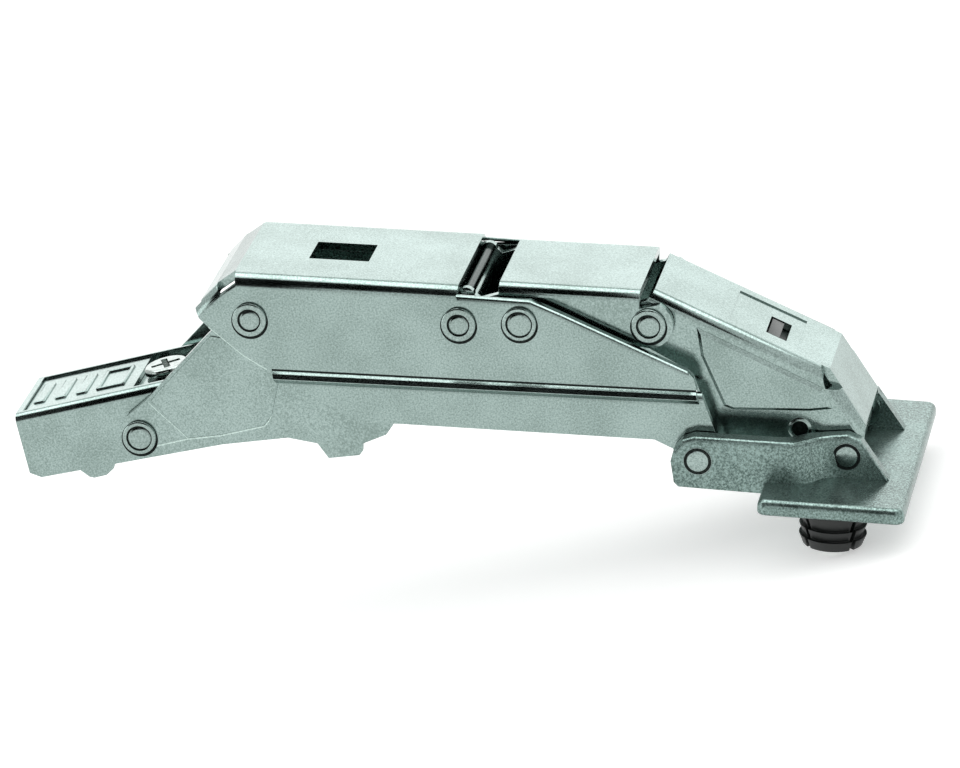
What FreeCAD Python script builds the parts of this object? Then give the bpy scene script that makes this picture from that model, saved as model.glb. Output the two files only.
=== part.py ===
"""Concealed hinge with a swinging upper housing and a door plate on two expanding dowels.

X runs along the fixed arm towards the door, Y along the pivots and Z away from the cabinet side.
The saved origin is the seat of the arm on its mounting plate, under the depth cam.
Outlines are drawn round the cross pin, with the hinge open. All lengths are in millimetres.
"""
import math
import os

import FreeCAD
import Part

SIDES = (-1, 1)

# Pivot axes, seen along Y
PIVOT_BRACKET = (-61.6, -7.6)
PIVOT_HOUSING = (-39.5, 8.2)
PIVOT_SPRING = (-8.9, 1.6)
PIVOT_CROSS = (0.0, 0.0)
PIVOT_FRONT = (18.25, -4.6)
PIVOT_LOWER = (-28.6, -6.55)
PIVOT_PLATE_REAR = (21.35, -25.05)
PIVOT_PLATE_FRONT = (42.3, -29.8)
PIVOT_CLIP = (-70.6, -9.0)
GUIDE = (-7.3, 4.9)

# Seat under the arm, where the origin is placed
SEAT = (-57.8, -11.6)

# Sheet, side clearances and nested half widths
SHEET = 1.2
SIDE_GAP = 0.3
MIDDLE_GAP = 1.0
BRACKET_GAP = 1.5
HOUSING_HALF = 13.0
MIDDLE_HALF = HOUSING_HALF - SHEET - MIDDLE_GAP
FRONT_HALF = MIDDLE_HALF - SHEET - SIDE_GAP
BRACKET_HALF = HOUSING_HALF - SHEET - BRACKET_GAP
CHANNEL_HALF = BRACKET_HALF - SHEET - SIDE_GAP

# Outer radii of the folds
HOUSING_FOLD = 2.0
MIDDLE_FOLD = 1.7
FRONT_FOLD = 1.7
LOWER_FOLD = 1.2
ARM_FOLD = 1.3
CLIP_FOLD = 0.6

# Pins, heads and running fits
RUNNING_FIT = 0.05
OPEN_FIT = 0.095
PIN_RADIUS = 1.65
SPRING_RADIUS = 1.5
CROSS_RADIUS = 1.95
GUIDE_RADIUS = 0.75
CLIP_RADIUS = 1.0
HEAD_RADIUS = 2.55
HEAD_THICK = 0.45
LUG_RADIUS = 3.6
LOWER_LUG = 3.0
SEAT_DEPTH = 0.6

# Upper housing
HOUSING_TILT = math.radians(-14.2)
HOUSING_WEB = 33.5
HOUSING_KNEE = (-40.3, 15.3)
HOUSING_HEEL = (-43.6, 13.9)
HOUSING_TIP = (-47.5, 11.3)
HOUSING_TIP_OPEN = 1.3
HOUSING_WINDOW = 9.0
HOUSING_WINDOW_HALF = 3.7
HOUSING_WINDOW_START = 9.7

# Middle channel
MIDDLE_WEB = 20.9
MIDDLE_START = (-2.15, 5.8)

# Front link
FRONT_TILT = math.radians(-37.3)
FRONT_WEB = 28.2
FRONT_START = (19.85, -0.15)
FRONT_NOSE = (45.6, -26.6)
PANEL_RISE = 0.6
SWITCH_START = 17.5
SWITCH_WINDOW = 3.3
SWITCH_HALF = 3.4
SWITCH_CENTRE = -1.0
SWITCH_TRAVEL = 0.8
RECESS_DEPTH = 0.2
SIDE_HOLE = (36.1, -25.0)
SIDE_HOLE_RADIUS = 1.2

# Lower link
LOWER_START = (-38.4, -0.55)
LOWER_END = (23.8, -15.8)
LOWER_WEB_START = -24.6
LOWER_WEB_END = 8.0

# Arm
ARM_TILT = math.radians(2.0)
ARM_WEB = 35.2
ARM_START = (-80.2, -1.3)
ARM_PRESSED = 28.5
PRESS_DEPTH = 1.1
RIM = 1.6
RIB_HEIGHT = 0.3
RIB_HALF = 4.0
BRACKET_EMBOSS = 0.15
CAM_RADIUS = 3.4
CAM_HEIGHT = 1.1
CAM_SHANK = 2.0
CAM_TOP = -0.2
CAM_SLOT = 1.8

# Door plate and dowels
PLATE_TILT = math.radians(-15.0)
PLATE_CORNER = (30.1, -29.95)
PLATE_LENGTH = 21.6
PLATE_HALF = 23.1
PLATE_THICK = 2.3
PLATE_ROUND = 1.4
PLATE_EDGE = 0.5
EAR_REAR = 2.1
EAR_FRONT = 1.8
CRANK_START = 36.1
CRANK_END = 38.9
DOWEL_ALONG = 10.6
DOWEL_Y = 16.0
DOWEL_RADIUS = 5.0
DOWEL_LENGTH = 6.0
DOWEL_BORE = 2.4
DOWEL_BORE_DEPTH = 2.0
DOWEL_COLLAR = 1.3
BARB_DEPTH = 0.6
BARB_COUNT = 3
DOWEL_SLOT = 0.7
SLOT_ROOT = 2.0
EXPANDER_GAP = 0.05
EXPANDER_OUT = 0.3

# Room that a cutting tool reaches past the face it cuts
OVER = 1.0


def vec(x, y, z):
    return FreeCAD.Vector(x, y, z)


def prism(points, y0, y1):
    """Extrude an outline of the XZ plane from y0 to y1."""
    wire = [vec(x, y0, z) for x, z in points]
    face = Part.Face(Part.makePolygon(wire + wire[:1]))
    return face.extrude(vec(0, y1 - y0, 0))


def disc(centre, y0, y1, radius):
    """Cylinder along Y between two places, given in any order."""
    low = min(y0, y1)
    return Part.makeCylinder(radius, abs(y1 - y0), vec(centre[0], low, centre[1]), vec(0, 1, 0))


def bore(body, centre, half, radius):
    """Cut one bore through everything within a half width."""
    return body.cut(disc(centre, -half - OVER, half + OVER, radius))


def shift(point, along, across, tilt):
    """Move a point along and across a slope."""
    x = point[0] + along * math.cos(tilt) - across * math.sin(tilt)
    z = point[1] + along * math.sin(tilt) + across * math.cos(tilt)
    return (x, z)


def strip(start, tilt, along, across):
    """Corners of a rectangle on a slope, from its reach along and across."""
    corners = ((along[0], across[1]), (along[1], across[1]), (along[1], across[0]), (along[0], across[0]))
    return [shift(start, a, c, tilt) for a, c in corners]


def arc(centre, radius, start, end, steps=8):
    """Points on a circle between two angles in degrees."""
    turns = [math.radians(start + (end - start) * i / steps) for i in range(steps + 1)]
    return [(centre[0] + radius * math.cos(a), centre[1] + radius * math.sin(a)) for a in turns]


def fuse(shapes):
    body = shapes[0]
    for other in shapes[1:]:
        body = body.fuse(other)
    return body.removeSplitter()


def slope(a, b):
    return math.atan2(b[1] - a[1], b[0] - a[0])


def shoulders(a, b, half, fold):
    """Everything under the web from a to b, with its two long corners rounded."""
    tilt = slope(a, b)
    reach = 200.0
    rise = math.sqrt(0.5) * fold
    corners = []
    for side in SIDES:
        low = vec(0, side * half, -reach)
        start = vec(0, side * half, -fold)
        middle = vec(0, side * (half - fold + rise), rise - fold)
        end = vec(0, side * (half - fold), 0)
        corners.append((low, start, middle, end))
    (low_a, start_a, mid_a, end_a), (low_b, start_b, mid_b, end_b) = corners
    edges = [
        Part.makeLine(low_a, start_a),
        Part.Arc(start_a, mid_a, end_a).toShape(),
        Part.makeLine(end_a, end_b),
        Part.Arc(end_b, mid_b, start_b).toShape(),
        Part.makeLine(start_b, low_b),
        Part.makeLine(low_b, low_a),
    ]
    body = Part.Face(Part.Wire(edges)).extrude(vec(2 * reach, 0, 0))
    body.translate(vec(-reach, 0, 0))
    body.rotate(vec(0, 0, 0), vec(0, 1, 0), -math.degrees(tilt))
    body.translate(vec(a[0], 0, a[1]))
    return body


def channel(outline, web, half, fold):
    """Folded sheet: two cheeks of one outline, joined by a web along some of its sides."""
    body = prism(outline, -half, half)
    inner = prism(outline, -half + SHEET, half - SHEET)
    for a, b in zip(web, web[1:]):
        body = body.common(shoulders(a, b, half, fold))
        length = math.hypot(b[0] - a[0], b[1] - a[1])
        inner = inner.cut(prism(strip(a, slope(a, b), (0, length), (-SHEET, 0)), -half, half))
    return body.cut(inner)


def riveted_pin(centre, radius, half):
    """Pin with a flat head at both ends."""
    parts = [disc(centre, -half, half, radius)]
    for side in SIDES:
        parts.append(disc(centre, side * half, side * (half + HEAD_THICK), HEAD_RADIUS))
    return fuse(parts)


def save(name, shape):
    shape.translate(vec(-SEAT[0], 0, -SEAT[1]))
    shape.exportStep(os.path.join("parts", name + ".step"))


# Arm
def arm_channel():
    half = CHANNEL_HALF
    web_end = shift(ARM_START, ARM_WEB, 0, ARM_TILT)
    outline = [
        ARM_START, web_end, (-40.0, -3.8), (-33.5, -10.5), (-28.4, -13.6), (-29.2, -16.5), (-29.9, -17.1),
        (-34.6, -16.7), (-35.7, -14.1), (-39.9, -12.4), (-50.0, SEAT[1]), (-78.7, SEAT[1]), (-80.3, -10.6),
    ]
    body = channel(outline, [ARM_START, web_end], half, ARM_FOLD)
    # Web pressed down between two rims, with three ribs and a frame on its floor
    floor_half = half - RIM
    pressed = (1.0, ARM_PRESSED)
    body = body.cut(prism(strip(ARM_START, ARM_TILT, pressed, (-PRESS_DEPTH, OVER)), -floor_half, floor_half))
    under = strip(ARM_START, ARM_TILT, (pressed[0] - 0.3, pressed[1] + 0.3), (-PRESS_DEPTH - SHEET, -PRESS_DEPTH))
    shapes = [body, prism(under, -half + SHEET, half - SHEET)]
    rise = (-PRESS_DEPTH, RIB_HEIGHT - PRESS_DEPTH)
    for place in (1.8, 5.2, 8.6):
        shapes.append(prism(strip(ARM_START, ARM_TILT, (place, place + 1.9), rise), -RIB_HALF, RIB_HALF))
    frame = prism(strip(ARM_START, ARM_TILT, (11.9, 16.5), rise), -RIB_HALF, RIB_HALF)
    inside = prism(strip(ARM_START, ARM_TILT, (12.4, 16.0), (-PRESS_DEPTH, OVER)), -RIB_HALF + 0.5, RIB_HALF - 0.5)
    shapes.append(frame.cut(inside))
    body = fuse(shapes)
    # Seat for the depth cam and the slot that it slides in
    seat = Part.makeCylinder(CAM_SHANK + RUNNING_FIT, 8.0, vec(SEAT[0], 0, -6.0), vec(0, 0, 1))
    body = body.cut(seat)
    slot = prism(strip(ARM_START, ARM_TILT, (28.0, 36.0), (-PRESS_DEPTH - SHEET, OVER)), -CAM_SLOT, CAM_SLOT)
    body = body.cut(slot)
    return bore(body, PIVOT_BRACKET, half, PIN_RADIUS)


def arm_bracket():
    half = BRACKET_HALF
    outline = arc(PIVOT_HOUSING, 4.6, 180, 12, 10)
    outline += [(-34.6, 3.2), (-34.9, -3.4)]
    outline += arc(PIVOT_LOWER, LOWER_LUG, 110, 10, 5)
    outline += [
        (-23.2, -12.8), (-24.7, -14.2), (-28.4, -14.9), (-31.2, -15.9), (-33.4, -15.5), (-34.6, -14.7),
        (-34.9, -12.4), (-36.5, -11.0), (-49.9, -10.9),
    ]
    outline += arc(PIVOT_BRACKET, 3.3, 262, 150, 6)
    outline += [(-62.8, -4.1), (-59.0, -2.0), (-47.5, 6.0)]
    body = prism(outline, -half, half).cut(prism(outline, -half + SHEET, half - SHEET))
    shapes = [body]
    # Cross web between the cheeks, behind the cam screw
    shapes.append(prism(strip((-47.6, 3.4), math.radians(34.4), (0, 4.24), (-SHEET, 0)), -half, half))
    panel = [
        (-58.4, -2.3), (-54.4, -9.1), (-49.5, -9.5), (-42.5, -9.3), (-40.9, -7.9), (-38.4, -2.7), (-39.5, 4.3),
        (-43.7, 4.8), (-46.8, 5.9), (-56.3, -0.7),
    ]
    # Cheeks pressed out a little in one large field
    for side in SIDES:
        ends = sorted((side * half, side * (half + BRACKET_EMBOSS)))
        shapes.append(prism(panel, ends[0], ends[1]))
    body = fuse(shapes)
    body = bore(body, PIVOT_BRACKET, half, PIN_RADIUS)
    body = bore(body, PIVOT_LOWER, half, PIN_RADIUS)
    return bore(body, PIVOT_HOUSING, half, PIN_RADIUS + RUNNING_FIT)


def cam_screw():
    low = CAM_TOP - CAM_HEIGHT
    head = Part.makeCylinder(CAM_RADIUS, CAM_HEIGHT, vec(0, 0, low), vec(0, 0, 1))
    rim = [e for e in head.Edges if e.BoundBox.ZMin > CAM_TOP - 0.01]
    body = head.makeChamfer(0.35, rim)
    body = body.fuse(Part.makeCylinder(CAM_SHANK, 3.0, vec(0, 0, low - 3.0), vec(0, 0, 1)))
    for turn in (20, 110):
        bar = Part.makeBox(4.4, 0.9, OVER, vec(-2.2, -0.45, CAM_TOP - 0.8))
        bar.rotate(vec(0, 0, 0), vec(0, 0, 1), turn)
        body = body.cut(bar)
    body.translate(vec(SEAT[0], 0, 0))
    return body


def clip_lever():
    half = CHANNEL_HALF - SHEET - SIDE_GAP
    web = [(-73.7, -7.2), (-67.9, -7.2)]
    outline = web + [(-67.2, -11.6), (-67.9, -12.8), (-69.2, -13.6), (-71.2, -13.7), (-71.9, -13.4), (-73.2, -11.9)]
    return bore(channel(outline, web, half, CLIP_FOLD), PIVOT_CLIP, half, CLIP_RADIUS + RUNNING_FIT)


# Swinging housing
def upper_housing():
    half = HOUSING_HALF
    web_end = shift(HOUSING_KNEE, HOUSING_WEB, 0, HOUSING_TILT)
    wrap_end = shift(HOUSING_TIP, HOUSING_TIP_OPEN, 0, slope(HOUSING_TIP, HOUSING_HEEL))
    outline = [
        HOUSING_TIP, HOUSING_HEEL, HOUSING_KNEE, web_end, shift(web_end, 0, -1.9, HOUSING_TILT), (2.4, 3.1),
        (6.3, 0.3), (11.4, -3.6), (22.7, -12.0), (23.3, -13.2), (23.3, -15.1), (-39.0, 0.0), (-42.0, 2.9),
        (-43.2, 4.5), (-46.0, 8.2), (-47.0, 9.7),
    ]
    body = channel(outline, [wrap_end, HOUSING_HEEL, HOUSING_KNEE, web_end], half, HOUSING_FOLD)
    # Reliefs at both corners of the bent end
    relief = [(-43.4, 14.4), (-43.1, 12.6), (-40.3, 13.9), (-40.1, 15.9), (-42.1, 16.2)]
    depth = HOUSING_FOLD + 0.2
    for side in SIDES:
        ends = sorted((side * (half - depth), side * (half + OVER)))
        body = body.cut(prism(relief, ends[0], ends[1]))
    reach = (HOUSING_WINDOW_START, HOUSING_WINDOW_START + HOUSING_WINDOW)
    window = strip(HOUSING_KNEE, HOUSING_TILT, reach, (-SHEET - OVER, OVER))
    body = body.cut(prism(window, -HOUSING_WINDOW_HALF, HOUSING_WINDOW_HALF))
    for centre, radius in ((PIVOT_HOUSING, PIN_RADIUS), (PIVOT_SPRING, SPRING_RADIUS), (PIVOT_CROSS, CROSS_RADIUS)):
        body = bore(body, centre, half, radius)
    return body


def middle_channel():
    half = MIDDLE_HALF
    web_end = shift(MIDDLE_START, MIDDLE_WEB, 0, HOUSING_TILT)
    outline = [MIDDLE_START, web_end, shift(web_end, 0, -2.6, HOUSING_TILT)]
    outline += arc(PIVOT_FRONT, LUG_RADIUS, 50, -120, 10)
    outline += [(8.0, -6.2), (-1.0, -3.4), (-12.0, -1.4), (-12.5, 3.6)]
    outline += arc(GUIDE, 1.3, 150, 0, 6)
    outline += [(-5.4, 4.1), (-2.5, 4.3)]
    body = channel(outline, [MIDDLE_START, web_end], half, MIDDLE_FOLD)
    for centre, radius in ((PIVOT_SPRING, SPRING_RADIUS), (PIVOT_CROSS, CROSS_RADIUS), (PIVOT_FRONT, PIN_RADIUS)):
        body = bore(body, centre, half, radius)
    return body


# Lower link
def lower_link():
    half = HOUSING_HALF
    inside = half - SHEET
    outline = [LOWER_START, LOWER_END, (24.2, -19.5), (24.5, -22.3)]
    outline += arc(PIVOT_PLATE_REAR, 3.2, -10, -140, 8)
    outline += [(17.7, -23.3), (15.3, -21.4), (4.6, -18.7), (-21.5, -12.0), (-27.0, -10.8), (-37.3, -1.8)]
    body = channel(outline, [LOWER_START, LOWER_END], half, LOWER_FOLD)
    # Web cut back at both ends for the bracket and for the front link
    for x0, x1, z0, z1 in ((-40.0, LOWER_WEB_START, -5.8, 3.0), (LOWER_WEB_END, 26.0, -20.3, -5.0)):
        body = body.cut(prism([(x0, z0), (x1, z0), (x1, z1), (x0, z1)], -inside, inside))
    seat = inside + SEAT_DEPTH
    body = body.cut(disc(PIVOT_LOWER, -seat, seat, PIN_RADIUS + RUNNING_FIT))
    return bore(body, PIVOT_PLATE_REAR, half, PIN_RADIUS + OPEN_FIT)


# Front link and its switch
def front_link():
    half = FRONT_HALF
    knee = shift(FRONT_START, FRONT_WEB, 0, FRONT_TILT)
    outline = [FRONT_START, knee, FRONT_NOSE]
    outline += arc(PIVOT_PLATE_FRONT, 2.75, 20, -120, 8)
    outline += [(35.0, -27.6), (28.3, -23.9), (25.4, -20.1), (22.2, -13.1), (16.0, -7.6)]
    outline += arc(PIVOT_FRONT, LUG_RADIUS, 215, 120, 6)
    outline += [(18.9, -1.25)]
    body = channel(outline, [FRONT_START, knee, FRONT_NOSE], half, FRONT_FOLD)
    # Corner reliefs of the bent nose
    relief = [(41.2, -15.0), (41.2, -19.6), (43.7, -20.6), (46.6, -19.5), (45.5, -15.0)]
    depth = FRONT_FOLD + 0.1
    panel = [(24.8, -6.7), (24.4, -11.0), (25.9, -19.4), (27.2, -20.2), (38.3, -22.5), (41.6, -22.8), (41.0, -19.4)]
    for side in SIDES:
        ends = sorted((side * (half - depth), side * (half + OVER)))
        body = body.cut(prism(relief, ends[0], ends[1]))
    # Raised side panels with sloped borders
    for side in SIDES:
        face = side * (half + PANEL_RISE)
        ends = sorted((side * (half - SHEET / 2), face))
        plate = prism(panel, ends[0], ends[1])
        border = [e for e in plate.Edges if abs(e.BoundBox.YMin - face) < 0.01 and abs(e.BoundBox.YMax - face) < 0.01]
        body = body.fuse(plate.makeChamfer(PANEL_RISE * 0.9, border))
    reach = (SWITCH_START, SWITCH_START + SWITCH_WINDOW)
    window = strip(FRONT_START, FRONT_TILT, reach, (-SHEET - OVER, OVER))
    body = body.cut(prism(window, SWITCH_CENTRE - SWITCH_HALF, SWITCH_CENTRE + SWITCH_HALF))
    recess = strip(FRONT_START, FRONT_TILT, (11.8, 22.7), (-RECESS_DEPTH, OVER))
    body = body.cut(prism(recess, -6.0, 6.0))
    body = bore(body, PIVOT_FRONT, half, PIN_RADIUS + RUNNING_FIT)
    body = bore(body, PIVOT_PLATE_FRONT, half, PIN_RADIUS + RUNNING_FIT)
    return bore(body, SIDE_HOLE, half, SIDE_HOLE_RADIUS).removeSplitter()


def switch_block():
    low = SWITCH_CENTRE - SWITCH_HALF
    high = SWITCH_CENTRE + SWITCH_HALF
    start = SWITCH_START + SIDE_GAP
    end = SWITCH_START + SWITCH_WINDOW - SWITCH_TRAVEL - SIDE_GAP
    button = strip(FRONT_START, FRONT_TILT, (start, end), (-2.6, -0.3))
    foot = strip(FRONT_START, FRONT_TILT, (start - 1.4, end + 1.4), (-2.6, -SHEET - SIDE_GAP))
    return fuse([prism(button, low + SIDE_GAP, high - SIDE_GAP), prism(foot, low - 1.0, high + 1.0)])


# Door plate with two cranked ears
def door_plate():
    flange = Part.makeBox(PLATE_LENGTH, 2 * PLATE_HALF, PLATE_THICK, vec(0, -PLATE_HALF, -PLATE_THICK))
    corners = [e for e in flange.Edges if e.BoundBox.ZLength > PLATE_THICK / 2]
    flange = flange.makeFillet(PLATE_ROUND, corners)
    rims = [e for e in flange.Edges if e.BoundBox.ZLength < 0.01]
    flange = on_plate(flange.makeChamfer(PLATE_EDGE, rims), 0, 0, 0)
    ear = [
        (18.3, -22.6), (17.4, -24.3), (17.1, -27.6), (17.6, -28.4), (31.5, -32.3), (48.1, -36.0), (47.6, -34.6),
        (45.0, -27.8), (43.3, -26.5), (38.9, -25.9), (36.1, -25.1), (34.0, -24.4), (21.7, -21.2), (19.9, -21.4),
    ]
    rear = HOUSING_HALF + SIDE_GAP
    front = FRONT_HALF + SIDE_GAP
    shapes = [flange]
    for side in SIDES:
        plan = [
            (10, rear + EAR_REAR), (CRANK_START, rear + EAR_REAR), (CRANK_END, front + EAR_FRONT),
            (60, front + EAR_FRONT), (60, front), (CRANK_END - 1.0, front), (CRANK_START - 1.0, rear), (10, rear),
        ]
        wire = [vec(x, side * y, -45.0) for x, y in plan]
        band = Part.Face(Part.makePolygon(wire + wire[:1])).extrude(vec(0, 0, 30.0))
        shapes.append(prism(ear, -rear - EAR_REAR - OVER, rear + EAR_REAR + OVER).common(band))
    body = fuse(shapes)
    body = bore(body, PIVOT_PLATE_REAR, rear + EAR_REAR, PIN_RADIUS)
    return bore(body, PIVOT_PLATE_FRONT, rear + EAR_REAR, PIN_RADIUS)


def on_plate(body, along, y, across):
    """Set a body, drawn with the door plate's corner at the origin, in its place on the plate."""
    body.translate(vec(along, y, across))
    body.rotate(vec(0, 0, 0), vec(0, 1, 0), -math.degrees(PLATE_TILT))
    body.translate(vec(PLATE_CORNER[0], 0, PLATE_CORNER[1]))
    return body


def turned(profile):
    """Turn a profile of radius and depth about a vertical axis."""
    wire = [vec(r, 0, -d) for r, d in profile]
    face = Part.Face(Part.makePolygon(wire + wire[:1]))
    return face.revolve(vec(0, 0, 0), vec(0, 0, 1), 360)


def dowel_sleeves():
    r = DOWEL_RADIUS
    pitch = (DOWEL_LENGTH - DOWEL_COLLAR) / BARB_COUNT
    profile = [(0, 0.0), (r, 0.0)]
    for i in range(BARB_COUNT):
        top = DOWEL_COLLAR + i * pitch
        profile += [(r, top), (r - BARB_DEPTH, top + pitch)]
    profile += [(DOWEL_BORE, DOWEL_LENGTH)]
    profile += [(DOWEL_BORE, DOWEL_LENGTH - DOWEL_BORE_DEPTH), (0, DOWEL_LENGTH - DOWEL_BORE_DEPTH)]
    sleeve = turned(profile)
    # Four slots through the barbs, down to a whole core
    for turn in (45, 135, 225, 315):
        corner = vec(SLOT_ROOT, -DOWEL_SLOT / 2, -DOWEL_LENGTH - DOWEL_COLLAR)
        slot = Part.makeBox(r, DOWEL_SLOT, DOWEL_LENGTH, corner)
        slot.rotate(vec(0, 0, 0), vec(0, 0, 1), turn)
        sleeve = sleeve.cut(slot)
    return Part.makeCompound([on_plate(sleeve.copy(), DOWEL_ALONG, y * DOWEL_Y, -PLATE_THICK) for y in SIDES])


def dowel_expanders():
    r = DOWEL_BORE - EXPANDER_GAP
    start = DOWEL_LENGTH - DOWEL_BORE_DEPTH
    wedge = turned([(0, start), (r, start), (r, DOWEL_LENGTH + EXPANDER_OUT), (0, DOWEL_LENGTH + EXPANDER_OUT)])
    return Part.makeCompound([on_plate(wedge.copy(), DOWEL_ALONG, y * DOWEL_Y, -PLATE_THICK) for y in SIDES])


def main():
    os.makedirs("parts", exist_ok=True)
    clip_half = CHANNEL_HALF - SHEET
    guide_half = MIDDLE_HALF - SHEET
    lower_half = HOUSING_HALF - SHEET + SEAT_DEPTH / 2
    rear_half = HOUSING_HALF + SIDE_GAP + EAR_REAR
    front_half = FRONT_HALF + SIDE_GAP + EAR_FRONT
    nodes = {
        "arm_channel": arm_channel(),
        "arm_bracket": arm_bracket(),
        "bracket_pin": riveted_pin(PIVOT_BRACKET, PIN_RADIUS, BRACKET_HALF),
        "lower_pivot_pin": disc(PIVOT_LOWER, -lower_half, lower_half, PIN_RADIUS),
        "cam_screw": cam_screw(),
        "clip_lever": clip_lever(),
        "clip_pin": disc(PIVOT_CLIP, -clip_half, clip_half, CLIP_RADIUS),
        "upper_housing": upper_housing(),
        "middle_channel": middle_channel(),
        "housing_pivot_pin": riveted_pin(PIVOT_HOUSING, PIN_RADIUS, HOUSING_HALF),
        "spring_shaft": riveted_pin(PIVOT_SPRING, SPRING_RADIUS, HOUSING_HALF),
        "cross_pin": riveted_pin(PIVOT_CROSS, CROSS_RADIUS, HOUSING_HALF),
        "guide_rod": disc(GUIDE, -guide_half, guide_half, GUIDE_RADIUS),
        "front_pivot_pin": riveted_pin(PIVOT_FRONT, PIN_RADIUS, MIDDLE_HALF),
        "lower_link": lower_link(),
        "front_link": front_link(),
        "switch_block": switch_block(),
        "door_plate": door_plate(),
        "plate_rear_pin": disc(PIVOT_PLATE_REAR, -rear_half, rear_half, PIN_RADIUS),
        "plate_front_pin": disc(PIVOT_PLATE_FRONT, -front_half, front_half, PIN_RADIUS),
        "dowel_sleeves": dowel_sleeves(),
        "dowel_expanders": dowel_expanders(),
    }
    for name, shape in nodes.items():
        save(name, shape)


main()
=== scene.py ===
"""Looks of the concealed hinge: satin nickel sheet, rivets, a cast door plate and black dowels."""
import math

import bpy
from mathutils import Matrix, Vector


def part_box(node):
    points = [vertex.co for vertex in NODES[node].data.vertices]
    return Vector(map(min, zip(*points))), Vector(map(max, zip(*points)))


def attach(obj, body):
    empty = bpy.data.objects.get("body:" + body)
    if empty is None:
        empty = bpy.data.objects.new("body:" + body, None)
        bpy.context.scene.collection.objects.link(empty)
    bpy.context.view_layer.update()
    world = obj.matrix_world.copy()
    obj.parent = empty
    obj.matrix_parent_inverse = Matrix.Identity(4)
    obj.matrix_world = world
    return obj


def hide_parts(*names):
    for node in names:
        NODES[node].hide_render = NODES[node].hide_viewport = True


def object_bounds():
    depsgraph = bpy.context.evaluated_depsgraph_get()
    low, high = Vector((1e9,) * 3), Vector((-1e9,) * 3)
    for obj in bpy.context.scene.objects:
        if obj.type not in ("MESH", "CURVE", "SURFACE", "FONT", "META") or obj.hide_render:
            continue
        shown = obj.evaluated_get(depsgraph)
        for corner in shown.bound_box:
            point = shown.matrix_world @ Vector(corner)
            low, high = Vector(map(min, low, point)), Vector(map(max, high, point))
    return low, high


bl_info = {
    "name": "Concealed Hinge Builder",
    "version": (1, 0, 0),
    "blender": (4, 5, 0),
    "location": "View3D > Sidebar > Hinge",
    "description": "Finishes the pieces of a concealed hinge and sets its studio",
    "category": "Object",
}

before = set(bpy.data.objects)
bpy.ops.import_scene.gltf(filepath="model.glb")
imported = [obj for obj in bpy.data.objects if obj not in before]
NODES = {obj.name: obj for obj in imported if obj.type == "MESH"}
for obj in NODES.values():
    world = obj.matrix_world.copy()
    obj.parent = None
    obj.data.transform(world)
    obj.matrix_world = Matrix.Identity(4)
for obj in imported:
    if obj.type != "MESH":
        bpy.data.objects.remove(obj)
CAD_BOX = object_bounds()
MM = 0.001

# Lengths below are in millimetres and angles in degrees, except where a comment says metres.
# The near side of the hinge is side -1 and the far side is side 1.

SHEET_NODES = ("arm_channel", "arm_bracket", "upper_housing", "middle_channel", "lower_link",
               "front_link", "clip_lever")
RIVET_NODES = ("bracket_pin", "lower_pivot_pin", "clip_pin", "housing_pivot_pin", "spring_shaft",
               "cross_pin", "front_pivot_pin", "plate_rear_pin", "plate_front_pin")

# The photograph's view: where it looks, from how far and how it is turned
VIEW_TARGET = (46.33, 0.0, -0.80)
VIEW_DISTANCE = 1014.5
VIEW_AZIMUTH = 14.49
VIEW_ELEVATION = 17.71
VIEW_ROLL = -14.8
VIEW_LENS = 255.0
SENSOR = 36.0
VIEW_CLIP = (0.01, 50)  # metres

# Lamps: place and size in metres, power as a share of the key lamp's, and whether they light matt
# surfaces too. Metal alone mirrors the last three: the bright line of the folds, the pale backdrop
# of the webs, and the fine light on rivets and pressed edges.
LAMP_AIM = (0.045, 0, 0)
LAMPS = {
    "overhead_lamp": ((0.045, 0.1, 0.7), (1.2, 0.8), 1.0, True),
    "fold_strip": ((0.045, 0.12, 0.7), (1.4, 0.44), 3.2, False),
    "back_strip": ((0.1, 1.1, 0.42), (2.2, 0.7), 3.9, False),
    "left_strip": ((-0.8, -0.4, 0.1), (0.3, 0.8), 0.8, False),
}

# Dark cards that give the folds their dark line: how far they hang from the hinge in metres, from
# where to where along it in metres, and between which elevations. The right one hangs higher,
# clear of the door plate.
CARD_DISTANCE = 0.542
CARDS = {
    "dark_card_left": ((-0.5, -0.045), (8, 74)),
    "dark_card_right": ((-0.045, 0.3), (24, 74)),
}

PAPER_SIZE = 6  # metres
PAPER_GAP = 0.3

# Plated metal: size of its cloudy tone, share of the grain in the tone and the ramp's two stops,
# how far the painted shade in the corners reaches, and how much the search for it leans upwards
CLOUD = 9.0
GRAIN_SHARE = 0.75
TONE_STOPS = (0.4, 0.6)
CORNER_REACH = 0.9
CORNER_LEAN = 1.1

# Broken edges: width of a vertex weld, angle below which faces count as flat, angle from which an
# edge of a CAD node or of the casting is rounded, and angles up to which pieces shade smooth
WELD = 0.002
FLAT_ANGLE = 0.5
NODE_EDGE_ANGLE = 38
CAST_EDGE_ANGLE = 40
SHEET_SMOOTH = 24
TURNED_SMOOTH = 30
SUNK = 0.02

# Turned faces. Each step from the rim inwards is a radius and how far the face rises there.
ROUND = 64
APOTHEM = math.cos(math.pi / ROUND)
CORE_LOW = 0.13

# Headed pins: the body they ride on, and the radius of recess and core
HEADED = {
    "bracket_pin": ("arm", 1.95, 1.75),
    "housing_pivot_pin": ("housing", 1.75, 1.5),
    "spring_shaft": ("housing", 1.7, 1.45),
    "cross_pin": ("housing", 2.0, 1.78),
    "front_pivot_pin": ("housing", 1.82, 1.6),
}
HEAD_THICK = 0.45

# Painted shadow on the sheet round a head: how much wider than the head, and how far below it
SHADOW_OUT = 0.22
SHADOW_DROP = 0.35
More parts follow.
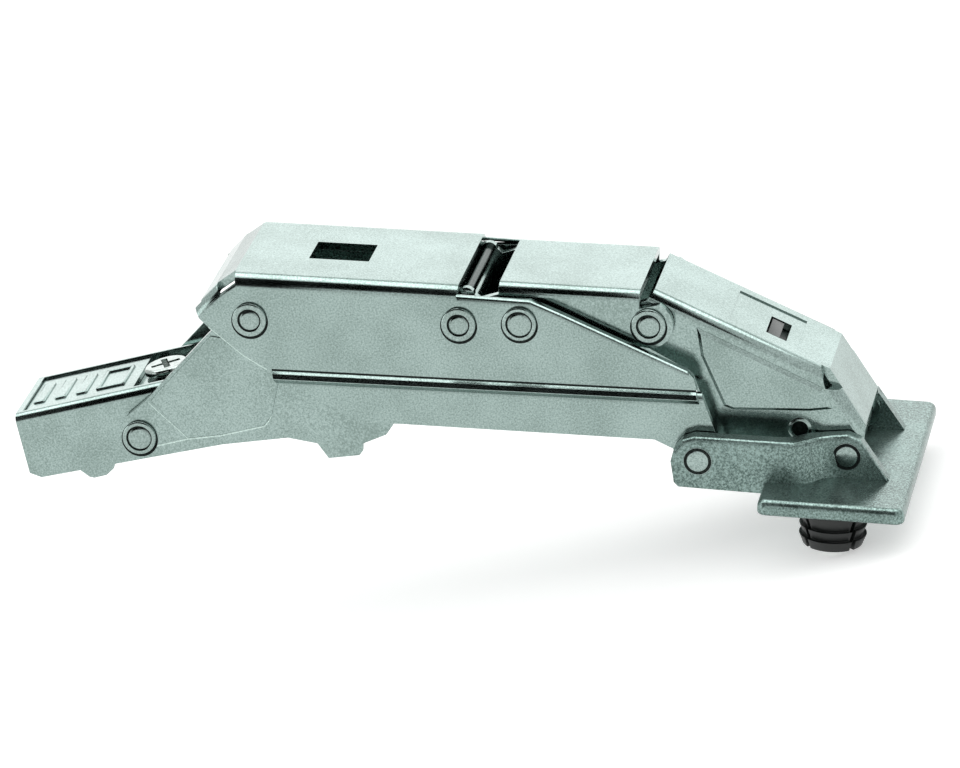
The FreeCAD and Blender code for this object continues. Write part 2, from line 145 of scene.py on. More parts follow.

# Flush pins of the door plate with the radii of their dark ring of painted shade
FLUSH = ("plate_rear_pin", "plate_front_pin")
FLUSH_STEPS = ((2.16, 0), (2.12, 0.1), (2.06, 0.0), (2.04, -0.05), (1.62, 0.0), (1.58, 0.06),
               (1.45, 0.05), (0.3, 0.01))
FLUSH_DARK = (1.6, 2.06)

# Side hole of the front link: its place along and up, and its bore, dark with painted shade
SIDE_HOLE = (93.9, -13.4)
HOLE_STEPS = ((1.75, 0.0), (1.5, 0.14), (1.3, 0.06), (1.22, -0.5), (0.3, 0.0))
HOLE_DARK = (-1.0, 1.22)

# Rear lower tab of the front link's cheeks
LINK_HALF = 9.3
LINK_SHEET = 1.2
LINK_TAB = ((80.4, -2.4), (81.0, -8.9), (81.4, -11.9), (82.2, -14.0), (87.2, -16.0),
            (92.8, -16.8), (93.3, -15.4), (86.4, -11.6), (83.6, -7.9), (80.4, -1.3))
TAB_EDGE = 0.1

# Trim on the sheets and the ears: the points that it follows on the far side, and its profile as
# steps outwards and upwards from them
CREST_PATH = ((19.5, 13.0, 11.3), (81.0, 13.0, -3.75))
EDGE_PATH = ((49.6, 13.0, 17.6), (60.2, 13.0, 14.7), (64.1, 13.0, 11.9), (80.5, 13.0, -0.4))
EAR_PATH = ((76.1, 15.4, -11.0), (77.7, 15.4, -9.8), (79.5, 15.4, -9.6), (91.8, 15.4, -12.8),
            (93.7, 14.95, -13.45), (95.3, 13.4, -13.9), (96.9, 11.85, -14.33),
            (98.9, 11.4, -14.6), (101.1, 11.4, -14.9), (102.8, 11.4, -16.2),
            (105.2, 11.4, -22.6))
PRESS_LINES = (
    ("housing_line", "housing", ((11.8, 13.0, 19.8), (14.6, 13.0, 16.1), (15.8, 13.0, 14.5),
                                 (18.8, 13.0, 11.6))),
    ("bracket_line", "arm", ((-1.9, 10.3, 2.1), (3.4, 10.3, 2.3), (8.3, 10.3, 1.9),
                             (14.5, 10.3, 2.1), (15.3, 10.3, 2.1), (16.3, 10.3, 2.9),
                             (16.9, 10.3, 3.7))),
    ("bracket_crease", "arm", ((-1.1, 10.3, 9.0), (3.4, 10.3, 2.3))),
)
CREST_PROFILE = ((-0.1, 0.1), (0.0, 0.0), (0.5, -0.33), (0.83, -1.01), (0.83, -1.1), (-0.1, -2.0))
BURR_PROFILE = ((-0.4, 0.06), (0.05, 0.06), (0.32, -0.12), (0.45, -0.42), (0.0, -0.6))
PRESS_PROFILE = ((-0.05, 0.14), (0.02, 0.14), (0.02, -0.14), (-0.05, -0.14))
GAP_SHADE_PROFILE = ((-0.05, 0.3), (0.03, 0.3), (0.03, 0.0), (-0.05, 0.0))
CREST_EDGE = 0.08
LINE_EDGE = 0.03
GAP_SHADE_EDGE = 0.005

# Flange of the door plate: its size, tilt and upper rear corner, and the roundings of its upright
# edges, upper rim and foot
FLANGE = (21.6, 46.2, 2.3)
FLANGE_TILT = math.radians(15.0)
FLANGE_CORNER = (87.9, -18.35)
FLANGE_ROUND = 1.4
FLANGE_RIM = 1.15
FLANGE_FOOT = 0.4
NEAR = 0.01

# Ears of the door plate: their outline from the side, their cranked faces in plan, how far before
# a bend the curve starts, the height of the band that is cut to the outline, and the cutter
EAR_OUTLINE = ((76.1, -11.0), (75.2, -12.7), (74.9, -16.0), (75.4, -16.8), (89.3, -20.7),
               (105.9, -24.4), (105.4, -23.0), (102.8, -16.2), (101.1, -14.9), (96.7, -14.3),
               (93.9, -13.5), (91.8, -12.8), (79.5, -9.6), (77.7, -9.8))
EAR_OUTER = ((67.8, 15.4), (93.9, 15.4), (96.7, 11.4), (117.8, 11.4))
EAR_INNER = ((67.8, 13.3), (92.9, 13.3), (95.7, 9.6), (117.8, 9.6))
EAR_EASE = 2.2
EAR_EDGE = 0.45
EAR_BAND = (-30.0, -5.0)
EAR_CUTTER = (5.0, 20.0)

# Floor of the arm's web: where it starts, its slope and depth, and the ribs and frame on it
FLOOR_START = (-22.4, 10.3)
FLOOR_SLOPE = math.radians(2.0)
FLOOR_DEPTH = 0.35
FLOOR_THICK = 0.7
FLOOR_ALONG = (1.1, 18.4)
FLOOR_HALF = 7.18
FLOOR_EDGE = 0.05
RIB_HALF = 4.0
RIB_HEIGHT = 0.3
RIB_PLACES = ((1.8, 3.7), (5.2, 7.1), (8.6, 10.5))
RIB_EDGE = 0.28
FLOOR_FRAME = (11.9, 16.5)
FRAME_WIDTH = 0.6
FRAME_EDGE = 0.2


def linear(code):
    """sRGB hex to the linear colour that a shader takes."""
    parts = [int(code[i:i + 2], 16) / 255 for i in (1, 3, 5)]
    return [c / 12.92 if c <= 0.04045 else ((c + 0.055) / 1.055) ** 2.4 for c in parts] + [1.0]


def add_node(tree, kind, settings=None, inputs=None, links=None):
    """Add a node, set its properties and sockets, and link other nodes' outputs into it."""
    node = tree.nodes.new(kind)
    for key, value in (settings or {}).items():
        setattr(node, key, value)
    for key, value in (inputs or {}).items():
        node.inputs[key].default_value = value
    for key, (source, output) in (links or {}).items():
        tree.links.new(source.outputs[output], node.inputs[key])
    return node


def new_material(name, sockets):
    """A material with a Principled shader whose plain sockets are set."""
    mat = bpy.data.materials.new(name)
    mat.use_nodes = True
    shader = mat.node_tree.nodes["Principled BSDF"]
    for key, value in sockets.items():
        shader.inputs[key].default_value = value
    return mat, mat.node_tree, shader


def noise(tree, size_mm, inputs):
    """Noise on Object coordinates whose features are about size_mm across."""
    place = add_node(tree, "ShaderNodeTexCoord")
    return add_node(tree, "ShaderNodeTexNoise", inputs={"Scale": 1 / (size_mm * MM), **inputs},
                    links={"Vector": (place, "Object")})


def tone_ramp(tree, source, low, high, stops=(0.0, 1.0)):
    """Ramp between two sRGB tones, driven by a node's first output."""
    ramp = add_node(tree, "ShaderNodeValToRGB", links={"Fac": (source, 0)})
    for i, code in enumerate((low, high)):
        ramp.color_ramp.elements[i].position = stops[i]
        ramp.color_ramp.elements[i].color = linear(code)
    return ramp


def add_relief(tree, shader, grain, height_mm, strength):
    """Relief of the shader's surface from a noise."""
    relief = add_node(tree, "ShaderNodeBump",
                      inputs={"Strength": strength, "Distance": height_mm * MM},
                      links={"Height": (grain, "Fac")})
    tree.links.new(relief.outputs["Normal"], shader.inputs["Normal"])


def metal(name, low, high, rough, grain_mm, grain_height, bump, spread=0.06, metallic=1.0,
          painted_shade_low=0.45):
    """Plated metal: fine grain in the relief, cloudy tone and gloss, and painted shade darkening
    its corners.
    """
    mat, tree, shader = new_material(name, {"Metallic": metallic, "Roughness": rough})
    grain = noise(tree, grain_mm, {"Detail": 3.0, "Roughness": 0.7})
    cloud = noise(tree, CLOUD, {"Detail": 2.0})
    part = add_node(tree, "ShaderNodeMath", {"operation": "MULTIPLY"}, {1: 1 - GRAIN_SHARE},
                    {0: (cloud, "Fac")})
    mixed = add_node(tree, "ShaderNodeMath", {"operation": "MULTIPLY_ADD"}, {1: GRAIN_SHARE},
                     {0: (grain, "Fac"), 2: (part, 0)})
    tone = tone_ramp(tree, mixed, low, high, TONE_STOPS)
    # Painted shade in corners, deepest below ledges and heads, so the search for a corner leans
    # upwards
    face = add_node(tree, "ShaderNodeNewGeometry")
    lean = add_node(tree, "ShaderNodeVectorMath", {"operation": "ADD"},
                    {1: (0.0, 0.0, CORNER_LEAN)}, {0: (face, "Normal")})
    unit = add_node(tree, "ShaderNodeVectorMath", {"operation": "NORMALIZE"},
                    links={0: (lean, 0)})
    corner = add_node(tree, "ShaderNodeAmbientOcclusion", {"samples": 8},
                      {"Distance": CORNER_REACH * MM}, {"Normal": (unit, 0)})
    painted_shade = add_node(tree, "ShaderNodeMapRange",
                    inputs={"From Min": 0.15, "From Max": 0.7, "To Min": painted_shade_low},
                    links={"Value": (corner, "AO")})
    shaded_tone = add_node(tree, "ShaderNodeMix", {"data_type": "RGBA", "blend_type": "MULTIPLY"},
                    {"Factor": 1.0}, {6: (tone, "Color"), 7: (painted_shade, "Result")})
    tree.links.new(shaded_tone.outputs[2], shader.inputs["Base Color"])
    gloss = add_node(tree, "ShaderNodeMapRange",
                     inputs={"From Min": 0.3, "From Max": 0.7, "To Min": rough - spread,
                             "To Max": rough + spread},
                     links={"Value": (cloud, "Fac")})
    tree.links.new(gloss.outputs["Result"], shader.inputs["Roughness"])
    add_relief(tree, shader, grain, grain_height, bump)
    return mat


def plastic(name, low, high, rough, grain_mm, bump):
    """Moulded plastic with a spark-eroded grain."""
    mat, tree, shader = new_material(name, {"Roughness": rough, "IOR": 1.5})
    grain = noise(tree, grain_mm, {"Detail": 4.0})
    tone = tone_ramp(tree, grain, low, high)
    tree.links.new(tone.outputs["Color"], shader.inputs["Base Color"])
    add_relief(tree, shader, grain, 0.02, bump)
    return mat


def seen_by_eye(tree):
    """1 for rays that reach the eye straight, off metal or through glass, and 0 for the rest."""
    path = add_node(tree, "ShaderNodeLightPath")
    first = add_node(tree, "ShaderNodeMath", {"operation": "MAXIMUM"},
                     links={0: (path, "Is Camera Ray"), 1: (path, "Is Glossy Ray")})
    return add_node(tree, "ShaderNodeMath", {"operation": "MAXIMUM"},
                    links={0: (first, 0), 1: (path, "Is Transmission Ray")})


def break_edge(piece, width_mm, angle=30):
    """Round the edges that are sharper than an angle, and return the modifier."""
    bevel = piece.modifiers.new("edge", "BEVEL")
    bevel.width = width_mm * MM
    bevel.segments = 3
    bevel.limit_method = "ANGLE"
    bevel.angle_limit = math.radians(angle)
    return bevel


def dress(names, mat, edge_mm=0.0):
    """Give CAD nodes a material, and a fine broken edge that catches the light."""
    for name in names:
        node = NODES[name]
        node.data.materials.clear()
        node.data.materials.append(mat)
        if edge_mm:
            weld = node.modifiers.new("weld", "WELD")
            weld.merge_threshold = WELD * MM
            flats = node.modifiers.new("flats", "DECIMATE")
            flats.decimate_type = "DISSOLVE"
            flats.angle_limit = math.radians(FLAT_ANGLE)
            break_edge(node, edge_mm, NODE_EDGE_ANGLE).harden_normals = True


def flat_face(name, count, radius):
    """A new face with a number of corners, radius in metres, with all else deselected."""
    bpy.ops.object.select_all(action="DESELECT")
    bpy.ops.mesh.primitive_circle_add(vertices=count, radius=radius, fill_type="NGON")
    piece = bpy.context.object
    piece.name = name
    return piece


def settle(piece, place=(0, 0, 0), turn=(0, 0, 0)):
    """Put the selected piece in its place, and apply that, so that its origin stays at zero."""
    piece.location = place
    piece.rotation_euler = turn
    bpy.ops.object.transform_apply(location=True, rotation=True, scale=True)


def face_out(side):
    """Turn that makes a flat face look out of a side of the hinge."""
    return (-side * math.radians(90), 0, 0)


def pin_end(node, side):
    """Centre of the end of a pin, a touch inside the metal."""
    low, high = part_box(node)
    face_y = low.y if side < 0 else high.y
    return Vector(((low.x + high.x) / 2, face_y - side * SUNK * MM, (low.z + high.z) / 2))


def head_steps(recess, core):
    """Steps of a headed pin's face: rolled rim, groove, recess and a core with a small dome."""
    return ((2.52, 0), (2.51, 0.2), (2.4, 0.07), (recess + 0.05, 0.0), (recess, -0.03),
            (recess - 0.01, -0.2), (core, 0.0), (core - 0.2, 0.12), (core - 0.34, 0.02),
            (0.3, 0.0))


def end_face(name, place, side, steps, mats, dark_radii, body, low_core=0.0):
    """Turned face on a side of the hinge: a disc whose face is set in and raised step by step."""
    radius = steps[0][0]
    piece = flat_face(name, ROUND, radius * MM)
    bpy.ops.object.mode_set(mode="EDIT")
    bpy.ops.mesh.select_all(action="SELECT")
    for new_radius, rise in steps[1:]:
        bpy.ops.mesh.inset(thickness=(radius - new_radius) * MM * APOTHEM, depth=rise * MM)
        radius = new_radius
    bpy.ops.object.mode_set(mode="OBJECT")
    for mat in mats:
        piece.data.materials.append(mat)
    # Faces between the two dark radii take the second material, painted shade in a groove or bore
    inner, outer = (radius * MM for radius in dark_radii)
    for face in piece.data.polygons:
        if inner < face.center.xy.length < outer:
            face.material_index = 1
    # The core sits a little low in its recess, so the painted shade of the groove is wider at the
    # top
    for vertex in piece.data.vertices:
        if vertex.co.length < low_core * MM:
            vertex.co.y += side * CORE_LOW * MM
    settle(piece, place, face_out(side))
    bpy.ops.object.shade_smooth_by_angle(angle=math.radians(TURNED_SMOOTH))
    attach(piece, body)


def painted_shadow_rings(node, dark, body):
    """Painted shadow: a dark disc on the sheet that shows below both heads of a pin."""
    low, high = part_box(node)
    radius = (high.x - low.x) / 2 + SHADOW_OUT * MM
    for side in (-1, 1):
        piece = flat_face("%s_film_%d" % (node, side + 1), ROUND, radius)
        sheet_y = (low.y if side < 0 else high.y) - side * (HEAD_THICK - SUNK) * MM
        settle(piece, ((low.x + high.x) / 2 - SHADOW_OUT / 2 * MM, sheet_y,
                       (low.z + high.z) / 2 - SHADOW_DROP * MM), face_out(side))
        piece.data.materials.append(dark)
        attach(piece, body)


def drawn_out(name, corners, way):
    """A face of the given corners, drawn out along a way into a closed solid."""
    piece = flat_face(name, len(corners), 1 * MM)
    for vertex, corner in zip(piece.data.vertices, corners):
        vertex.co = Vector(corner) * MM
    bpy.ops.object.mode_set(mode="EDIT")
    bpy.ops.mesh.select_all(action="SELECT")
    bpy.ops.mesh.extrude_region_move(TRANSFORM_OT_translate={"value": Vector(way) * MM})
    bpy.ops.mesh.select_all(action="SELECT")
    bpy.ops.mesh.normals_make_consistent(inside=False)
    bpy.ops.object.mode_set(mode="OBJECT")
    return piece


def sheet_piece(name, corners, way, mat, body, edge_mm):
    """Solid strip of sheet with a finely broken edge."""
    piece = drawn_out(name, corners, way)
    piece.data.materials.append(mat)
    break_edge(piece, edge_mm)
    bpy.ops.object.shade_smooth_by_angle(angle=math.radians(SHEET_SMOOTH))
    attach(piece, body)


def trim_strip(name, start, end, profile, side, mat, slot, body, edge_mm):
    """Strip of a profile on a side of the hinge, from one point to another."""
    corners = [(start[0], side * (start[1] + out), start[2] + up) for out, up in profile]
    way = (end[0] - start[0], side * (end[1] - start[1]), end[2] - start[2])
    sheet_piece(name, corners, way, mat, body, edge_mm)


def trim_line(name, path, profile, side, mat, slot, body):
    """Fine raised line along a path of points, one straight strip after another."""
    for i, (start, end) in enumerate(zip(path, path[1:])):
        trim_strip("%s_%d_%d" % (name, side + 1, i), start, end, profile, side, mat, slot, body,
                   LINE_EDGE)


def pick_edges(piece, test):
    """Go into edit mode with the edges selected whose two ends pass the test."""
    bpy.context.tool_settings.mesh_select_mode = (False, True, False)
    bpy.ops.object.mode_set(mode="EDIT")
    bpy.ops.mesh.select_all(action="DESELECT")
    bpy.ops.object.mode_set(mode="OBJECT")
    points = piece.data.vertices
    for edge in piece.data.edges:
        a, b = (points[i].co / MM for i in edge.vertices)
        edge.select = test(a, b)
    bpy.ops.object.mode_set(mode="EDIT")


def finish_cast(piece, mat):
    """Material, even shading and place on the mechanism for a piece of the casting."""
    piece.data.materials.append(mat)
    bpy.ops.object.shade_smooth_by_angle(angle=math.radians(TURNED_SMOOTH))
    shade = piece.modifiers.new("shade", "WEIGHTED_NORMAL")
    shade.keep_sharp = True
    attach(piece, "door_plate")


def plate_flange(mat):
    """Flange of the door plate: a tilted slab with rounded corners, a round rim and a foot."""
    bpy.ops.object.select_all(action="DESELECT")
    bpy.ops.mesh.primitive_cube_add(size=1, location=(FLANGE[0] * MM / 2, 0, -FLANGE[2] * MM / 2))
    piece = bpy.context.object
    piece.name = "door_plate_flange"
    piece.scale = [length * MM for length in FLANGE]
    bpy.ops.object.transform_apply(location=True, rotation=True, scale=True)
    # The slab's upper face lies at height 0 here: upright edges, upper rim, foot
    rounds = ((FLANGE_ROUND, 5, lambda a, b: abs(a.z - b.z) > FLANGE[2] / 2),
              (FLANGE_RIM, 6, lambda a, b: min(a.z, b.z) > -NEAR),
              (FLANGE_FOOT, 3, lambda a, b: max(a.z, b.z) < NEAR - FLANGE[2]))
    for width, steps, test in rounds:
        pick_edges(piece, test)
        bpy.ops.mesh.bevel(offset=width * MM, segments=steps, affect="EDGES")
        bpy.ops.object.mode_set(mode="OBJECT")
    settle(piece, (FLANGE_CORNER[0] * MM, 0, FLANGE_CORNER[1] * MM), (0, FLANGE_TILT, 0))
    finish_cast(piece, mat)
    return piece


def eased(points, setback, steps):
    """Outline with its inner corners eased into curves that start a setback before each one."""
    line = [Vector(p) for p in points]
    out = [line[0]]
    for before, corner, after in zip(line, line[1:], line[2:]):
        start = corner + (before - corner).normalized() * setback
        end = corner + (after - corner).normalized() * setback
        for i in range(steps + 1):
            t = i / steps
            out.append(start * (1 - t) ** 2 + corner * 2 * t * (1 - t) + end * t ** 2)
    return out + [line[-1]]


def plate_ear(side, mat):
    """One ear of the door plate: a band that is cranked in plan, cut to the ear's outline."""
    plan = eased(EAR_OUTER, EAR_EASE, 7) + eased(EAR_INNER, EAR_EASE, 7)[::-1]
    low, high = EAR_BAND
    piece = drawn_out("door_plate_ear_%d" % (side + 1), [(x, side * y, low) for x, y in plan],
                      (0, 0, high - low))
    start, end = EAR_CUTTER
    cutter = drawn_out("ear_outline", [(x, side * start, z) for x, z in EAR_OUTLINE],
                       (0, side * (end - start), 0))
    bpy.ops.object.select_all(action="DESELECT")
    piece.select_set(True)
    bpy.context.view_layer.objects.active = piece
    cut = piece.modifiers.new("cut", "BOOLEAN")
    cut.operation = "INTERSECT"
    cut.object = cutter
    bpy.ops.object.modifier_apply(modifier="cut")
    bpy.data.objects.remove(cutter)
    break_edge(piece, EAR_EDGE, CAST_EDGE_ANGLE)
    finish_cast(piece, mat)


def arm_strip(along, across):
    """Corners of a strip that lies along the arm's web."""
    turn = Matrix.Rotation(FLOOR_SLOPE, 2)
    start = Vector(FLOOR_START)
    corners = [(along[0], across[0]), (along[1], across[0]), (along[1], across[1]),
               (along[0], across[1])]
    return [start + turn @ Vector(corner) for corner in corners]


class HingeSettings(bpy.types.PropertyGroup):
    sheet_low: bpy.props.StringProperty(
        name="Sheet dark tone", description="Darkest tone of the nickel sheet",
        default="#7A8B86")
    sheet_high: bpy.props.StringProperty(
        name="Sheet light tone", description="Lightest tone of the nickel sheet",
        default="#9FB1AD")
    cast_low: bpy.props.StringProperty(
        name="Casting dark tone", description="Darkest tone of the door plate",
        default="#50625D")
    cast_high: bpy.props.StringProperty(
        name="Casting light tone", description="Lightest tone of the door plate",
        default="#92A8A3")
    sheet_grain: bpy.props.FloatProperty(
        name="Sheet grain", description="Grain of the rolled sheet in millimetres",
        default=0.26, min=0.02, max=2.0)
    edge: bpy.props.FloatProperty(
        name="Broken edge", description="Width of the rounded edges in millimetres",
        default=0.22, min=0.0, max=0.5)


class StudioSettings(bpy.types.PropertyGroup):
    backdrop: bpy.props.FloatProperty(
        name="Backdrop", description="Strength of the white that the camera sees",
        default=1.0, min=0.0, max=2.0)
    fill: bpy.props.FloatProperty(
        name="Fill light", description="Strength of the world on matt surfaces",
        default=0.85, min=0.0, max=2.0)
    floor_lift: bpy.props.FloatProperty(
        name="Floor lift", description="White added to the floor for the camera",
        default=0.4, min=0.0, max=1.0)
    key_power: bpy.props.FloatProperty(
        name="Key lamp", description="Power of the overhead lamp in watts",
        default=1.1, min=0.0, max=100.0, unit="POWER")


class HINGE_OT_sheets(bpy.types.Operator):
    """Finish the folded sheets in satin nickel"""
    bl_idname = "hinge.sheets"
    bl_label = "Folded sheets"

    def execute(self, context):
        look = context.scene.hinge_look
        # Nickel-plated steel strip, tumbled before plating: a fine satin stipple that stays
        # bright on the folds
        mat = metal("satin_nickel_strip", look.sheet_low, look.sheet_high, 0.17,
                    look.sheet_grain, 0.02, 0.3, spread=0.03)
        dress(SHEET_NODES, mat, look.edge)
        # Painted shade: a dark line that stands for the shadow gap under the housing's edge
        painted_shade = metal("painted_gap_shade", "#161B1A", "#2A302E", 0.4, 0.3, 0.01, 0.2)
        # Painted highlight: a paler line along the pressed edges, where they catch the light
        painted_highlight = metal("painted_highlight_line", "#A4B7B1", "#C4D7D1", 0.25, 0.26, 0.01, 0.2,
                     painted_shade_low=1.0)
        for side in (-1, 1):
            outer, inner = side * (LINK_HALF - SUNK), side * (LINK_HALF - LINK_SHEET)
            sheet_piece("front_link_tab_%d" % (side + 1), [(x, outer, z) for x, z in LINK_TAB],
                        (0, inner - outer, 0), mat, "front_link", TAB_EDGE)
            # A fine rounded crest on the lower link below the housing's edge
            trim_strip("lower_link_crest_%d" % (side + 1), *CREST_PATH, CREST_PROFILE, side, mat,
                       "sheet_steel", "lower_link", CREST_EDGE)
            # Rolled burr on the housing's sloping edge, a line of light over a dark one
            trim_line("housing_burr", EDGE_PATH, BURR_PROFILE, side, mat, "sheet_steel",
                      "housing")
            # Pale strips along the pressed edges: painted highlight
            for name, body, path in PRESS_LINES:
                trim_line(name, path, PRESS_PROFILE, side, painted_highlight, "sheet_steel", body)
            # Painted shadow gap: a dark strip above the crest, under the housing's edge
            trim_strip("lower_link_gap_shade_%d" % (side + 1), *CREST_PATH, GAP_SHADE_PROFILE, side, painted_shade,
                       "sheet_steel", "lower_link", GAP_SHADE_EDGE)
        self.floor(mat)
        return {"FINISHED"}

    def floor(self, mat):
        """Floor of the arm's web with its three ribs and the frame beside them"""
        top = -FLOOR_DEPTH
        rise = (top - RIB_HEIGHT, top + RIB_HEIGHT)
        bars = [("floor", FLOOR_ALONG, (top - FLOOR_THICK, top), -FLOOR_HALF, FLOOR_HALF,
                 FLOOR_EDGE)]
        bars += [("rib_%d" % i, along, rise, -RIB_HALF, RIB_HALF, RIB_EDGE)
                 for i, along in enumerate(RIB_PLACES)]
        low, high = FLOOR_FRAME
        frame_bars = (("frame_low", (low, low + FRAME_WIDTH), -RIB_HALF, RIB_HALF),
                      ("frame_high", (high - FRAME_WIDTH, high), -RIB_HALF, RIB_HALF),
                      ("frame_near", (low, high), -RIB_HALF, -RIB_HALF + FRAME_WIDTH),
                      ("frame_far", (low, high), RIB_HALF - FRAME_WIDTH, RIB_HALF))
        bars += [(name, along, rise, near, far, FRAME_EDGE)
                 for name, along, near, far in frame_bars]
        for name, along, across, near, far, edge in bars:
            corners = [(x, near, z) for x, z in arm_strip(along, across)]
            sheet_piece("arm_" + name, corners, (0, far - near, 0), mat, "arm",
                        edge)


class HINGE_OT_rivets(bpy.types.Operator):
    """Finish the riveted pins"""
    bl_idname = "hinge.rivets"
    bl_label = "Rivets"

    def execute(self, context):
        look = context.scene.hinge_look
        # Cold-headed steel, nickel-plated: a slightly darker and smoother face than the sheet,
        # with deep painted shade where its corners are hidden
        mat = metal("headed_nickel_rivet", "#7C8C87", "#A2B3AF", 0.2, 0.22, 0.02, 0.3,
                    painted_shade_low=0.05)
        dress(RIVET_NODES, mat, look.edge * 0.8)
        # Blackened steel rod: dark with a sharp line of light
        rod = metal("blackened_rod", "#27312F", "#44504D", 0.22, 0.3, 0.01, 0.2)
        dress(("guide_rod",), rod)
        # Painted shade: a dark material in the groove between rivet and ring, below the heads, and
        # in rings and bores
        dark = metal("painted_shade_material", "#161B1A", "#2A302E", 0.4, 0.3, 0.01, 0.2)
        for node, (body, recess, core) in HEADED.items():
            painted_shadow_rings(node, dark, body)
            for side in (-1, 1):
                end_face("%s_face_%d" % (node, side + 1), pin_end(node, side), side,
                         head_steps(recess, core), (mat, dark), (core, recess - 0.01), body,
                         low_core=core + 0.01)
        for node in FLUSH:
            for side in (-1, 1):
                end_face("%s_face_%d" % (node, side + 1), pin_end(node, side), side,
                         FLUSH_STEPS, (mat, dark), FLUSH_DARK, "door_plate")
        # Side hole of the front link: a pressed rim round a bore dark with painted shade
        for side in (-1, 1):
            place = Vector((SIDE_HOLE[0], side * LINK_HALF, SIDE_HOLE[1])) * MM
            end_face("front_link_hole_%d" % (side + 1), place, side, HOLE_STEPS, (mat, dark),
                     HOLE_DARK, "front_link")
        return {"FINISHED"}


class HINGE_OT_cam(bpy.types.Operator):
    """Finish the depth cam screw"""
    bl_idname = "hinge.cam"
    bl_label = "Depth cam"

    def execute(self, context):
        # Polished nickel screw head: strong black and white reflections round the cross recess
        mat = metal("polished_nickel_screw", "#8F9A96", "#B9C3BF", 0.12, 0.4, 0.01, 0.15,
                    spread=0.03)
        dress(("cam_screw",), mat, 0.12)
        return {"FINISHED"}


class HINGE_OT_plate(bpy.types.Operator):
    """Finish the cast door plate"""
    bl_idname = "hinge.plate"
    bl_label = "Door plate"

    def execute(self, context):
        look = context.scene.hinge_look
        # Zinc die casting, nickel-plated: a coarser, slightly pitted satin
        mat = metal("cast_zinc_nickel", look.cast_low, look.cast_high, 0.29, 0.3, 0.02, 0.5,
                    metallic=0.85)
        flange = plate_flange(mat)
        for side in (-1, 1):
            plate_ear(side, mat)
            # Fine burr along the ear's upper edge, which catches a line of light
            trim_line("ear_edge", EAR_PATH, BURR_PROFILE, side, mat, "cast_plate", "door_plate")
        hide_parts("door_plate")
        return {"FINISHED"}


class HINGE_OT_dowels(bpy.types.Operator):
    """Finish the dowels, their expanders and the switch block"""
    bl_idname = "hinge.dowels"
    bl_label = "Dowels"

    def execute(self, context):
        # Black nylon, moulded: soft grey sheen on the barbs
        dark = plastic("black_nylon", "#0E1110", "#1B1F1E", 0.42, 0.3, 0.4)
        dress(("dowel_sleeves",), dark, 0.06)
        # Dark acetal slider
        slider = plastic("dark_acetal", "#1C2422", "#39433F", 0.35, 0.3, 0.3)
        dress(("switch_block",), slider, 0.1)
        # Turned steel wedge, plain zinc colour
        wedge = metal("turned_steel_wedge", "#9AA29D", "#C2C9C4", 0.3, 0.2, 0.02, 0.3)
        dress(("dowel_expanders",), wedge, 0.1)
        return {"FINISHED"}


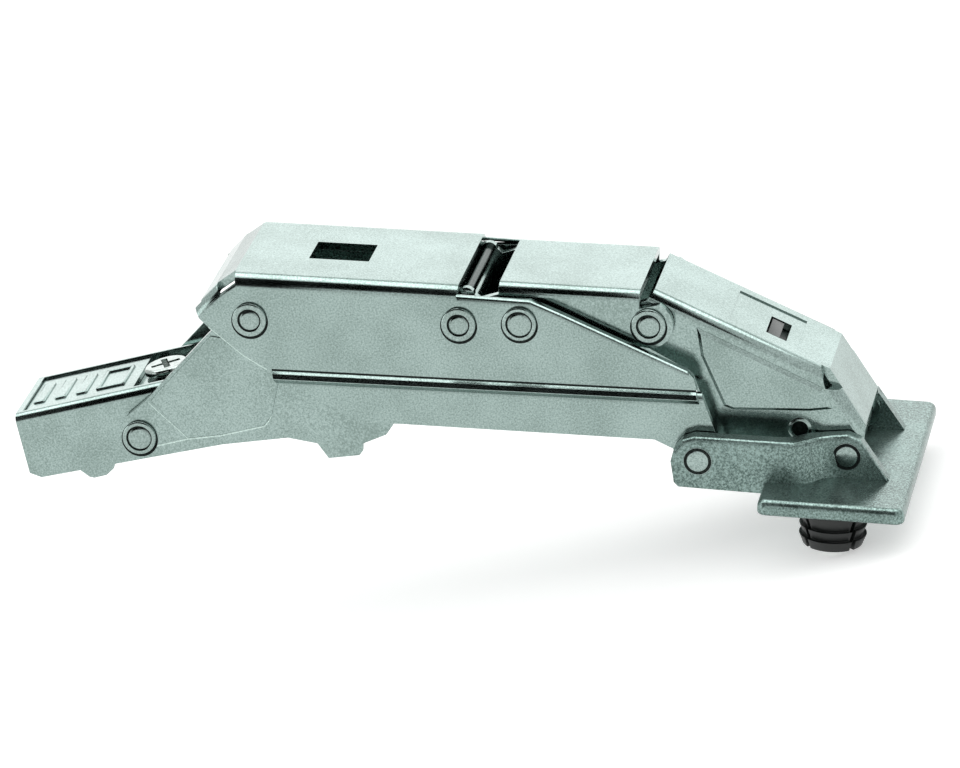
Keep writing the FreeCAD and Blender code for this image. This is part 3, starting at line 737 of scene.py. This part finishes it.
class HINGE_OT_stage(bpy.types.Operator):
    """Set the backdrop, the floor, the lamps, the dark cards and the camera"""
    bl_idname = "hinge.stage"
    bl_label = "Studio"

    def execute(self, context):
        scene = context.scene
        studio = scene.hinge_studio
        scene.view_settings.view_transform = "Standard"
        self.world(scene, studio)
        self.floor(studio)
        for name, (place, size, share, diffuse) in LAMPS.items():
            self.lamp(scene, name, place, size, studio.key_power * share, diffuse)
        for name, (reach, heights) in CARDS.items():
            self.card(name, reach, heights)
        self.camera(scene)
        return {"FINISHED"}

    def world(self, scene, studio):
        """White that the eye sees, and a softer white that lights matt surfaces"""
        world = bpy.data.worlds.new("studio")
        scene.world = world
        world.use_nodes = True
        tree = world.node_tree
        back = tree.nodes["Background"]
        level = add_node(tree, "ShaderNodeMapRange",
                         inputs={"To Min": studio.fill, "To Max": studio.backdrop},
                         links={"Value": (seen_by_eye(tree), 0)})
        tree.links.new(level.outputs["Result"], back.inputs["Strength"])
        back.inputs["Color"].default_value = (1.0, 1.0, 1.0, 1.0)

    def floor(self, studio):
        """Floor just below the hinge"""
        bpy.ops.mesh.primitive_grid_add(x_subdivisions=2, y_subdivisions=2, size=PAPER_SIZE)
        floor = bpy.context.object
        floor.name = "floor"
        settle(floor, (0, 0, CAD_BOX[0].z - PAPER_GAP * MM))
        # White paper sweep: full white to the eye, and still matt enough to keep a shadow
        mat, tree, shader = new_material("white_paper_floor", {
            "Base Color": linear("#F4F5F4"), "Roughness": 0.9, "Specular IOR Level": 0.1,
            "Emission Color": (1.0, 1.0, 1.0, 1.0)})
        lift = add_node(tree, "ShaderNodeMath", {"operation": "MULTIPLY"},
                        {1: studio.floor_lift}, {0: (seen_by_eye(tree), 0)})
        tree.links.new(lift.outputs[0], shader.inputs["Emission Strength"])
        floor.data.materials.append(mat)

    def lamp(self, scene, name, place, size, power, diffuse):
        """An area lamp that is turned to the hinge"""
        data = bpy.data.lights.new(name, "AREA")
        data.shape = "RECTANGLE"
        data.size, data.size_y = size
        data.energy = power
        lamp = bpy.data.objects.new(name, data)
        scene.collection.objects.link(lamp)
        lamp.location = place
        lamp.visible_diffuse = diffuse
        aim = Vector(LAMP_AIM) - Vector(place)
        lamp.rotation_euler = aim.to_track_quat("-Z", "Y").to_euler()

    def card(self, name, reach, heights):
        """A dark card in front and above that only metal mirrors"""
        middle = math.radians(sum(heights) / 2)
        half = math.radians((heights[1] - heights[0]) / 2)
        bpy.ops.mesh.primitive_grid_add(x_subdivisions=2, y_subdivisions=2, size=1)
        card = bpy.context.object
        card.name = name
        card.scale = (reach[1] - reach[0], 2 * CARD_DISTANCE * math.tan(half), 1)
        settle(card, (sum(reach) / 2, -CARD_DISTANCE * math.cos(middle),
                      CARD_DISTANCE * math.sin(middle)), (math.pi / 2 - middle, 0, 0))
        card.visible_camera = False
        card.visible_shadow = False
        card.visible_diffuse = False
        black = new_material("black_card", {"Base Color": linear("#0A0B0B"), "Roughness": 1.0,
                                            "Specular IOR Level": 0.0})[0]
        card.data.materials.append(black)

    def camera(self, scene):
        """Camera at the photograph's view"""
        data = bpy.data.cameras.new("camera")
        camera = bpy.data.objects.new("camera", data)
        scene.collection.objects.link(camera)
        data.sensor_width = SENSOR
        data.lens = VIEW_LENS
        data.clip_start, data.clip_end = VIEW_CLIP
        azimuth, elevation = math.radians(VIEW_AZIMUTH), math.radians(VIEW_ELEVATION)
        back = Vector((math.sin(azimuth) * math.cos(elevation),
                       -math.cos(azimuth) * math.cos(elevation), math.sin(elevation)))
        place = Vector(VIEW_TARGET) * MM + back * (VIEW_DISTANCE * MM)
        roll = Matrix.Rotation(math.radians(VIEW_ROLL), 3, "Z")
        turn = (-back).to_track_quat("-Z", "Y").to_matrix() @ roll
        camera.matrix_world = Matrix.Translation(place) @ turn.to_4x4()
        scene.camera = camera


class HINGE_PT_panel(bpy.types.Panel):
    """Lists the hinge's pieces"""
    bl_label = "Concealed hinge"
    bl_idname = "HINGE_PT_panel"
    bl_space_type = "VIEW_3D"
    bl_region_type = "UI"
    bl_category = "Hinge"

    def draw(self, context):
        for name in STEPS:
            self.layout.operator("hinge." + name)


STEPS = ("sheets", "rivets", "cam", "plate", "dowels", "stage")
CLASSES = (HingeSettings, StudioSettings, HINGE_OT_sheets, HINGE_OT_rivets, HINGE_OT_cam,
           HINGE_OT_plate, HINGE_OT_dowels, HINGE_OT_stage, HINGE_PT_panel)


def register():
    for cls in CLASSES:
        bpy.utils.register_class(cls)
    bpy.types.Scene.hinge_look = bpy.props.PointerProperty(type=HingeSettings)
    bpy.types.Scene.hinge_studio = bpy.props.PointerProperty(type=StudioSettings)


def unregister():
    del bpy.types.Scene.hinge_look
    del bpy.types.Scene.hinge_studio
    for cls in reversed(CLASSES):
        bpy.utils.unregister_class(cls)


def main():
    register()
    bpy.ops.object.select_all(action="DESELECT")
    for name in STEPS:
        getattr(bpy.ops.hinge, name)()


if __name__ == "__main__":
    main()
